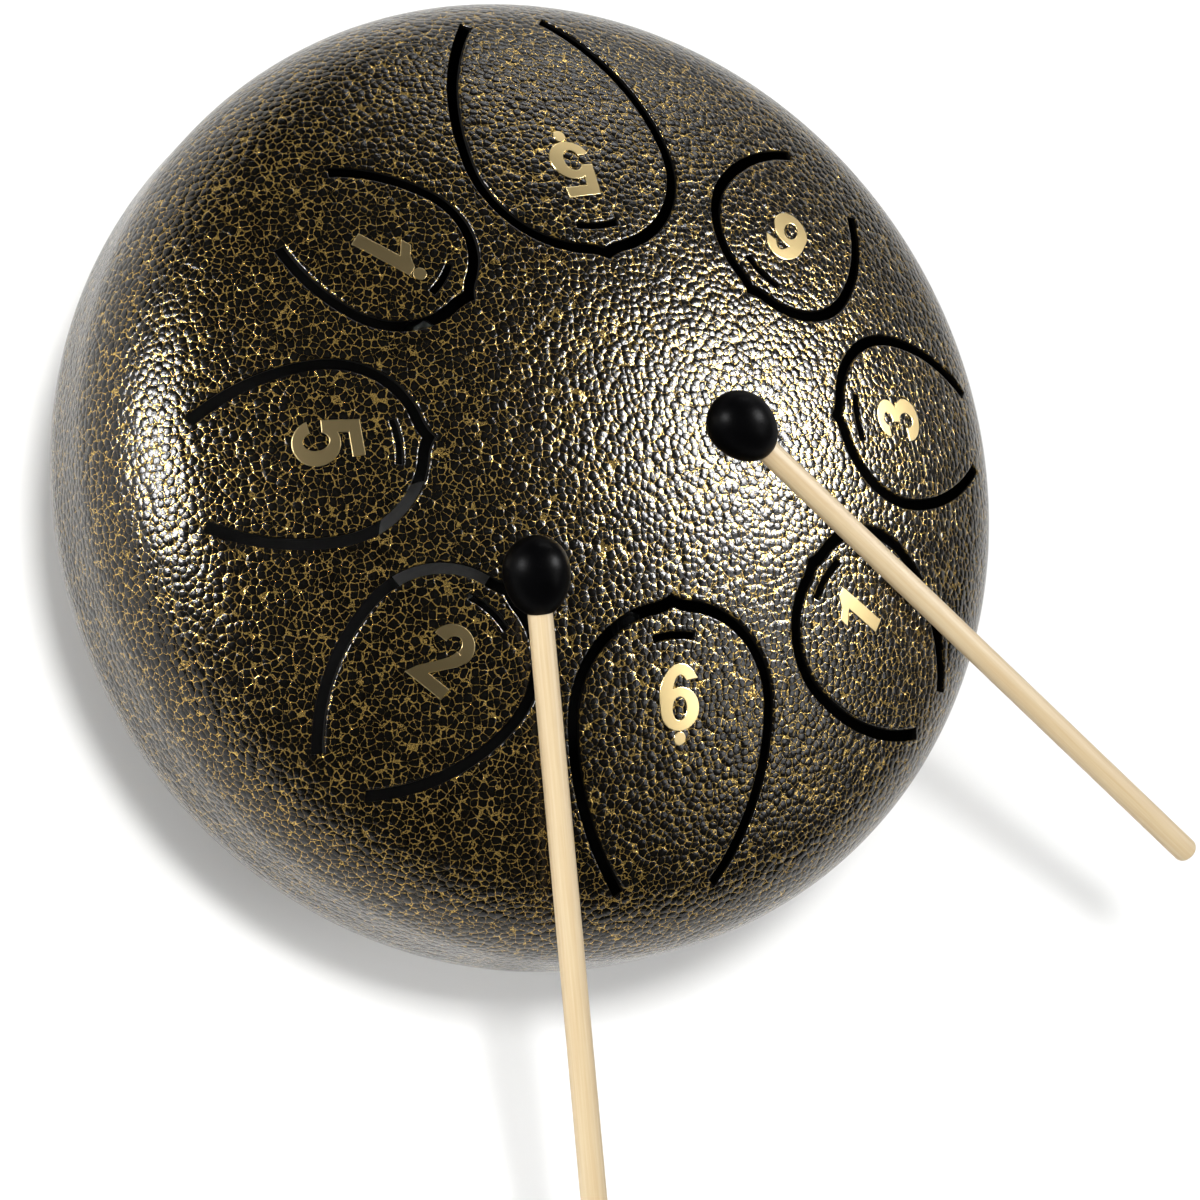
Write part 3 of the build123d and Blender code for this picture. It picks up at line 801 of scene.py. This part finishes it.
tongue_openings = [lambda grow, t=t, f=f: f(t, grow) for f in (slot_outline, slit_outline)
                   for t in TONGUES]
holes = [((0.0, 0.0), sound_hole_radius)]
holes += [((foot_circle * cos(radians(a)), foot_circle * sin(radians(a))), screw_hole_radius)
          for a in foot_angles]
hole_openings = [lambda grow, h=h: round_outline(h[0], h[1], grow) for h in holes]
for name, openings, half_turn, node in (
        ("slotted_upper_shell", tongue_openings, 0.0, "upper_shell"),
        ("pierced_lower_shell", hole_openings, pi, "lower_shell")):
    shell = press_piece(blank(name, openings), coat, primer, half_turn)
    finish_piece(shell, coat, "drum", [node], crisp=shell_crisp)

# %% [markdown]
# ## Pieces from the lathe
# Rims, rubber heads, sticks, washers and screws are round, so one helper turns a half section
# about an axis. A section that ends on the axis closes in a single point there.

# %% A lathe
def lathe(section, segments, closed=False):
    """Vertices and faces of a section (radius, height) turned about Z."""
    verts = []
    rings = []
    for radius, height in section:
        count = 1 if radius < 1e-6 else segments
        rings.append(list(range(len(verts), len(verts) + count)))
        verts += [(radius * cos(2 * pi * i / segments), radius * sin(2 * pi * i / segments), height)
                  for i in range(count)]
    faces = []
    pairs = list(zip(rings, rings[1:] + rings[:1])) if closed else list(zip(rings, rings[1:]))
    for low, high in pairs:
        for i in range(segments):
            j = (i + 1) % segments
            face = [low[i % len(low)], low[j % len(low)], high[j % len(high)], high[i % len(high)]]
            faces.append([v for n, v in enumerate(face) if v not in face[:n]])
    return verts, faces


# %% [markdown]
# The weld lies in the groove between the two bevelled rims. It is ground flush and coated
# over, so it only shows as an unbroken rim.

# %% Seam weld
bead = [(drum_radius - weld_depth, seam_height), (drum_radius, seam_height - weld_depth),
        (drum_radius, seam_height + weld_depth)]
weld = mesh_piece("flush_seam_weld", *lathe(bead, 360, closed=True))
faces_outwards(weld)
finish_piece(weld, coat, "drum", ["seam_weld"])

# %% [markdown]
# ## Numerals
# The numerals are foil stickers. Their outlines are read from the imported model, thinned at
# the edge so that a fine bevel catches the light, and pressed onto the crown by the same tree
# as the shells: a sticker's height on the blank is its height over the steel.

# %% Outlines of the stickers
foil_thickness = 0.2
foil_bevel = 0.12
foil_pitch = 0.9  # between the points that fill a sticker
point_spacing = 0.12  # points of an outline that lie closer are dropped
crown_middle = Vector((0, 0, seam_height + crown_centre))


def outline_loops(node):
    """The closed outlines of a numeral's upper face, in plan, in millimetres."""
    work = bmesh.new()
    work.from_mesh(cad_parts[node].data)
    bmesh.ops.remove_doubles(work, verts=work.verts, dist=0.002 * MM)
    level = crown_radius + 0.6 * foil_thickness
    top = {f for f in work.faces
           if all((v.co / MM - crown_middle).length > level for v in f.verts)}
    links = {}
    for edge in work.edges:
        if sum(f in top for f in edge.link_faces) == 1:
            one, other = (v.index for v in edge.verts)
            links.setdefault(one, []).append(other)
            links.setdefault(other, []).append(one)
    work.verts.ensure_lookup_table()
    place = {i: (work.verts[i].co.x / MM, work.verts[i].co.y / MM) for i in links}
    work.free()
    loops = []
    while links:
        first = next(iter(links))
        loop = [first]
        here = links.pop(first)[0]
        while here != first:
            loop.append(here)
            ways = links.pop(here)
            here = ways[0] if ways[0] != loop[-2] else ways[1]
        loops.append([place[i] for i in loop])
    return loops


def evened(loop, spacing):
    """A loop without the points that lie closer than the spacing."""
    kept = [loop[0]]
    for point in loop[1:]:
        if hypot(point[0] - kept[-1][0], point[1] - kept[-1][1]) > spacing:
            kept.append(point)
    if hypot(kept[0][0] - kept[-1][0], kept[0][1] - kept[-1][1]) < spacing:
        kept.pop()
    return kept


def shrunk(loop, others, size):
    """A loop moved into the foil by size, whichever way round it runs."""
    ring = np.asarray(loop)
    ahead = np.roll(ring, -1, axis=0) - ring
    ahead /= np.hypot(*ahead.T)[:, None]
    behind = np.roll(ahead, 1, axis=0)
    normal = np.stack([-(ahead + behind)[:, 1], (ahead + behind)[:, 0]], axis=1)
    normal /= np.maximum(np.hypot(*normal.T), 1e-9)[:, None]
    mitre = 1 / np.clip(np.abs((normal * np.stack([-ahead[:, 1], ahead[:, 0]], 1)).sum(1)), 0.6, 1)
    trial = ring + normal * 0.02
    side = 1 if inside(trial, others).mean() > 0.5 else -1
    return [tuple(p) for p in ring + normal * (side * size * mitre)[:, None]]


# %% [markdown]
# A sticker's edge has three steps: a fine bevel, then straight down to the steel. Its faces are
# filled and its walls joined with the helpers that closed the blanks.

# %% Press the stickers on
def sticker(node):
    """One foil numeral with bevelled edges, pressed onto the crown."""
    loops = [evened(loop, point_spacing) for loop in outline_loops(node)]
    steps = [(foil_bevel, foil_thickness), (0.4 * foil_bevel, 0.9 * foil_thickness),
             (0.0, 0.6 * foil_thickness), (0.0, 0.0)]
    rings = []
    for size, height in steps:
        moved = [shrunk(loop, loops, size) if size else loop for loop in loops]
        rings.append((height, [[flattened(p, -height) for p in loop] for loop in moved]))
    verts = []
    faces = []
    top, underside = (flat_face(verts, faces, ring, lambda points, r=ring: inside(points, r),
                                foil_pitch, 0.35, height, upwards)
                      for (height, ring), upwards in ((rings[0], True), (rings[-1], False)))
    walls(verts, faces, top, underside, rings[1:-1])
    piece = mesh_piece("foil_" + node, verts, faces)
    faces_outwards(piece)
    return press_piece(piece, foil, foil)


for node in sorted(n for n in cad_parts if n.startswith("numeral_")):
    finish_piece(sticker(node), foil, "drum", [node], crisp=10)

bpy.data.objects.remove(die)

# %% [markdown]
# ## Feet and fasteners
# Three rubber feet stand on a circle, each held by a screw with a washer inside and outside
# and a nut. One of each is made about its own screw, and a node tree sets three round the
# drum's axis. A foot leans with the steel, so its tread is cut off level before it is set.

# %% Three round the axis
foot_lean = asin(foot_circle / crown_radius)
around, given = new_tree("three_round_the_axis", {
    "Count": "Int", "First angle": "Float", "Lean": "Float", "Centre height": "Float",
    "Crown radius": "Float", "Finish": "Material"})
drop = add(around, "ShaderNodeMath", {0: given["Crown radius"], 1: -1.0}, operation="MULTIPLY")
below = add(around, "ShaderNodeCombineXYZ", {2: drop})
down = add(around, "GeometryNodeTransform", {"Geometry": given["Piece"], "Translation": below})
share = add(around, "ShaderNodeMath", {0: 2 * pi, 1: given["Count"]}, operation="DIVIDE")
angle = add(around, "ShaderNodeMath", {0: add(around, "GeometryNodeInputIndex"), 1: share,
                                       2: given["First angle"]}, operation="MULTIPLY_ADD")
tilt = add(around, "ShaderNodeMath", {0: given["Lean"], 1: -1.0}, operation="MULTIPLY")
turn = add(around, "FunctionNodeEulerToRotation",
           {0: add(around, "ShaderNodeCombineXYZ", {1: tilt, 2: angle})})
spots = add(around, "GeometryNodePoints",
            {"Count": given["Count"],
             "Position": add(around, "ShaderNodeCombineXYZ", {2: given["Centre height"]})})
three = add(around, "GeometryNodeInstanceOnPoints",
            {"Points": spots, "Instance": down, "Rotation": turn})
end_tree(around, three, given["Finish"])


def set_round(piece, finish, node, crisp=40):
    """Bakes three of a piece onto the feet's circle."""
    bake(piece, around, {"Count": 3, "First angle": pi / 2, "Lean": foot_lean,
                         "Centre height": (seam_height - crown_centre) * MM,
                         "Crown radius": crown_radius * MM, "Finish": finish})
    finish_piece(piece, finish, "drum", [f"{node}_{n}" for n in (1, 2, 3)], crisp)


# %% [markdown]
# A foot is a tapered rubber button with a groove near its root, a screw hole and a recess from
# below that hides the screw's head. Its upper face follows the steel. It is turned on the
# lathe, cut off level with the table, and the edge of its tread is rounded.

# %% Rubber feet
foot_radius = 12.5  # at the shell
foot_tip_radius = 10.5  # at the tread
foot_seat = 4.0  # of rubber between the shell and the washer
recess_radius = 5.5  # of the recess for the screw's head
tread_round = 1.1
screw_radius = 2.0
lower_middle = seam_height - crown_centre
floor_reach = (lower_middle - crown_radius * cos(foot_lean)) / cos(foot_lean)
taper = (foot_radius - foot_tip_radius) / floor_reach
low = floor_reach + 2 * foot_tip_radius * sin(foot_lean) / cos(foot_lean)


def seat_height(radius):
    """Height of the shell's outside over the middle of a foot's seat."""
    return crown_radius - sqrt(crown_radius**2 - radius**2)


top_radius = foot_radius - taper * seat_height(foot_radius)
top_edge = seat_height(top_radius)
section = [(screw_hole_radius, -foot_seat), (screw_hole_radius, seat_height(screw_hole_radius))]
section += [(r, seat_height(r)) for r in np.linspace(4, top_radius - 0.4, 6)]
section += [(top_radius - 0.1, top_edge - 0.1), (top_radius, top_edge - 0.5)]
# the groove is 0.35 deep: its upper edge, its floor and its lower edge
section += [(foot_radius - taper * 2, -2.0), (foot_radius - taper * 2.2 - 0.35, -2.4),
            (foot_radius - taper * 2.6, -2.8)]
section += [(foot_radius - taper * low, -low), (recess_radius, -low),
            (recess_radius, -foot_seat - 0.3), (recess_radius - 0.3, -foot_seat)]
foot = mesh_piece("rubber_feet", *lathe(section, 72, closed=True))
work = bmesh.new()
work.from_mesh(foot.data)
# the table, as the leaning foot sees it
floor_normal = Vector((sin(foot_lean), 0, cos(foot_lean)))
floor_point = Vector((0, 0, crown_radius)) - floor_normal * lower_middle
bmesh.ops.recalc_face_normals(work, faces=work.faces)
bmesh.ops.bisect_plane(work, geom=work.verts[:] + work.edges[:] + work.faces[:], dist=1e-7,
                       plane_co=floor_point * MM, plane_no=floor_normal, clear_inner=True)
rim_edges = [e for e in work.edges if e.is_boundary]
bmesh.ops.bridge_loops(work, edges=rim_edges)
outer_rim = [e for e in rim_edges
             if all(hypot(v.co.x, v.co.y) > (recess_radius + 1.5) * MM for v in e.verts)]
bmesh.ops.bevel(work, geom=outer_rim, offset=tread_round * MM, segments=4, affect="EDGES",
                profile=0.5)
bmesh.ops.recalc_face_normals(work, faces=work.faces)
work.to_mesh(foot.data)
work.free()
foot.data.polygons.foreach_set("use_smooth", [True] * len(foot.data.polygons))
set_round(foot, foot_rubber, "foot", 50)

# %% [markdown]
# The screws are M4 pan heads, and the thread is drawn as rings at its real pitch of 0.7 mm,
# because a helix would look the same at this size. Two crossed bars cut the recess.

# %% Screws
washer_thickness = 0.8
pan_height = 2.6
pan_radius = 4.0
screw_length = 12.0
thread_pitch = 0.7
thread_depth = 0.28
recess_span = 4.6  # from end to end of the cross
recess_width = 1.2
recess_depth = 1.4
under_head = -foot_seat - washer_thickness
section = [(0.0, under_head - pan_height)]
# the head is nearly flat on top and round at its edge
section += [(pan_radius * (0.45 * sin(radians(a)) + 0.55 * min(1, a / 30)),
             under_head - pan_height / 2 * (1 + cos(radians(a)))) for a in (15, 30, 45, 60, 75, 90)]
section += [(pan_radius, under_head - 0.1), (pan_radius - 0.1, under_head),
            (screw_radius, under_head)]
turns = int((screw_length - 1.0) / thread_pitch)
for i in range(turns):
    crest = under_head + 0.6 + i * thread_pitch
    section += [(screw_radius, crest), (screw_radius, crest + 0.09),
                (screw_radius - thread_depth, crest + 0.35),
                (screw_radius - thread_depth, crest + 0.42)]
section += [(screw_radius - 0.2, under_head + screw_length - 0.3),
            (screw_radius - 0.5, under_head + screw_length), (0.0, under_head + screw_length)]
screw = mesh_piece("pan_head_screws", *lathe(section, 48))
faces_outwards(screw)
cross = bmesh.new()
at = Matrix.Translation((0, 0, (under_head - pan_height) * MM))
for wide, deep in ((recess_span, recess_width), (recess_width, recess_span)):
    bar = Matrix.Diagonal((wide * MM, deep * MM, 2 * recess_depth * MM, 1))
    bmesh.ops.create_cube(cross, size=1.0, matrix=at @ bar)
driver_mesh = bpy.data.meshes.new("driver")
cross.to_mesh(driver_mesh)
cross.free()
driver = bpy.data.objects.new("driver", driver_mesh)
bpy.context.scene.collection.objects.link(driver)
recess = screw.modifiers.new("recess", "BOOLEAN")
recess.operation = "DIFFERENCE"
recess.solver = "EXACT"
recess.use_self = True
recess.object = driver
depsgraph = bpy.context.evaluated_depsgraph_get()
cut_mesh = bpy.data.meshes.new_from_object(screw.evaluated_get(depsgraph))
screw.modifiers.remove(recess)
screw.data = cut_mesh
bpy.data.objects.remove(driver)
set_round(screw, zinc, "foot_screw", 30)

# %% [markdown]
# A washer is a flat ring with its edges broken, one under the screw's head and one inside the
# drum, which rests on the hollow side of the steel.

# %% Washers
washer_radius = 4.5
washer_bore = 2.2
broken_edge = 0.1
hollow = crown_radius - sheet
inner_seat = sheet + hollow - sqrt(hollow**2 - washer_radius**2)
for name, base in (("outer", under_head), ("inner", inner_seat)):
    top = base + washer_thickness
    ring = [(washer_bore, base + broken_edge), (washer_bore + broken_edge, base),
            (washer_radius - broken_edge, base), (washer_radius, base + broken_edge),
            (washer_radius, top - broken_edge), (washer_radius - broken_edge, top),
            (washer_bore + broken_edge, top), (washer_bore, top - broken_edge)]
    washer = mesh_piece(f"{name}_washers", *lathe(ring, 48, closed=True))
    faces_outwards(washer)
    set_round(washer, zinc, f"foot_{name}_washer", 50)

# %% [markdown]
# A nut is a hexagon with its corners chamfered and a round bore. Four hexagons and two circles
# of points are enough, and each end is closed between a side of the hexagon and its share of
# the circle.

# %% Nuts
nut_flats = 7.0
nut_height = 3.2
nut_chamfer = 0.35
chamfer_swell = 0.93  # of the corners, at the two ends
nut_low = inner_seat + washer_thickness
verts = []
corner_radius = nut_flats / 2 / cos(pi / 6)
levels = ((0.0, chamfer_swell), (nut_chamfer, 1.0), (nut_height - nut_chamfer, 1.0),
          (nut_height, chamfer_swell))
for height, swell in levels:
    verts += [(corner_radius * swell * cos(pi / 3 * i), corner_radius * swell * sin(pi / 3 * i),
               nut_low + height) for i in range(6)]
bore_start = len(verts)
bore_radius = screw_radius + 0.02
bore_end = bore_start + 24
for height in (nut_height, 0.0):
    verts += [(bore_radius * cos(pi / 12 * i), bore_radius * sin(pi / 12 * i), nut_low + height)
              for i in range(24)]
faces = [(6 * k + i, 6 * k + (i + 1) % 6, 6 * k + 6 + (i + 1) % 6, 6 * k + 6 + i)
         for k in range(3) for i in range(6)]
faces += [(bore_start + i, bore_start + (i + 1) % 24, bore_end + (i + 1) % 24, bore_end + i)
          for i in range(24)]
for hexagon, bore in ((18, bore_start), (0, bore_end)):
    for i in range(6):
        outer = [hexagon + i, hexagon + (i + 1) % 6]
        faces.append(outer + [bore + (4 * i + k) % 24 for k in (4, 3, 2, 1, 0)])
nuts = mesh_piece("hexagon_nuts", verts, faces)
faces_outwards(nuts)
nuts.data.polygons.foreach_set("use_smooth", [False] * len(nuts.data.polygons))
set_round(nuts, zinc, "foot_nut", 25)

# %% [markdown]
# ## Mallets
# A mallet is a tapered birch stick with a moulded rubber bulb pushed onto its thin end. The
# packed sticks say where the two lie: the direction in which their points spread most is the
# stick's axis. The bulb ends in a small lip where its mould closed round the socket.

# %% Where the mallets lie
def stick_frame(node):
    """Place and direction of a packed stick: from its end in the head to its butt."""
    points = np.array([tuple(v.co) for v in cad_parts[node].data.vertices])
    points = np.unique(points.round(6), axis=0)
    spread = np.linalg.svd(points - points.mean(axis=0), full_matrices=False)[2][0]
    low_end, high_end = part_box(node.replace("stick", "head"))
    head = (low_end + high_end) / 2
    way = Vector(spread)
    if (Vector(points.mean(axis=0)) - head).dot(way) < 0:
        way.negate()
    along = (points - points.mean(axis=0)) @ np.array(way)
    ends = [Vector(points[abs(along - edge) < 0.2 * MM].mean(axis=0))
            for edge in (along.min(), along.max())]
    way = (ends[1] - ends[0]).normalized()
    return ends[0], way, (ends[1] - ends[0]).length / MM


# %% [markdown]
# Both are turned on the lathe along Z and then laid in their place. The stick also carries its
# own lengthwise coordinates, from before it was laid, for the grain of the birch. The mallets
# don't block the key lamp, so the sparkle of the coat stays whole around them.

# %% Sticks and heads
head_radius = 8.1
head_nose = 8.6  # from the head's widest place to its nose
head_tail = 10.0  # and to its mouth
grain_shift = Vector((0.031, 0.017, 0))  # gives each stick another part of the birch's grain


def placed(verts, start, way):
    """Vertices made along Z, laid along a direction from a start point."""
    turn = way.to_track_quat("Z", "Y").to_matrix()
    return [tuple((start + turn @ (Vector(v) * MM)) / MM) for v in verts]


def stick_section(length):
    """Half section of a stick from its flat end to its rounded butt."""
    thin, thick, curve = 3.0, 3.4, 1.6  # radius in the head, at the butt, and of its rounding
    steps = [(0.0, 0.0), (thin - 0.15, 0.0), (thin, 0.15)]
    steps += [(thin + (thick - thin) * k / 24, length * k / 24) for k in range(1, 24)]
    steps += [(thick - curve + curve * cos(radians(a)), length - curve + curve * sin(radians(a)))
              for a in (0, 15, 30, 45, 60, 75, 90)]
    return steps + [(0.0, length)]


def head_section():
    """Half section of a rubber bulb, from the nose round to the mouth and into its socket."""
    mouth = 3.4  # radius, just over the stick's
    oval = head_tail / sqrt(1 - (mouth / head_radius) ** 2)
    steps = [(head_radius * sin(radians(a)), -head_nose * cos(radians(a)))
             for a in range(0, 90, 4)]
    steps += [(head_radius, -0.2), (head_radius, 0.2)]
    last = acos(mouth / head_radius)
    steps += [(head_radius * cos(last * k / 20), oval * sin(last * k / 20)) for k in range(2, 20)]
    # the lip, then the socket
    steps += [(mouth + 0.15, head_tail - 0.35), (mouth + 0.05, head_tail - 0.08),
              (mouth - 0.12, head_tail), (3.05, head_tail - 0.1), (3.02, head_tail - 1.0),
              (3.0, 0.1), (0.0, 0.1)]
    return steps


out_of_beam = bpy.data.collections.new("out_of_the_key_beam")
for body in ("mallet_1", "mallet_2"):
    start, way, length = stick_frame(body + "_stick")
    verts, faces = lathe(stick_section(length), 64)
    stick = mesh_piece(body + "_birch_stick", placed(verts, start, way), faces)
    grain = stick.data.attributes.new("grain", "FLOAT_VECTOR", "POINT")
    across = grain_shift * (1 if body == "mallet_1" else 2)
    grain.data.foreach_set("vector", [c for v in verts for c in Vector(v) * MM + across])
    faces_outwards(stick)
    finish_piece(stick, birch, body, [body + "_stick"])
    verts, faces = lathe(head_section(), 96)
    bulb = mesh_piece(body + "_rubber_bulb", placed(verts, start, way), faces)
    faces_outwards(bulb)
    finish_piece(bulb, head_rubber, body, [body + "_head"])
    out_of_beam.objects.link(stick)
    out_of_beam.objects.link(bulb)
    print(body, "stick:", round(length, 1), "mm, pointing", [round(c, 3) for c in way])

# an excluded piece casts no shadow from this one lamp, and still does from all others
for item in out_of_beam.collection_objects:
    item.light_linking.link_state = "EXCLUDE"
key.light_linking.blocker_collection = out_of_beam
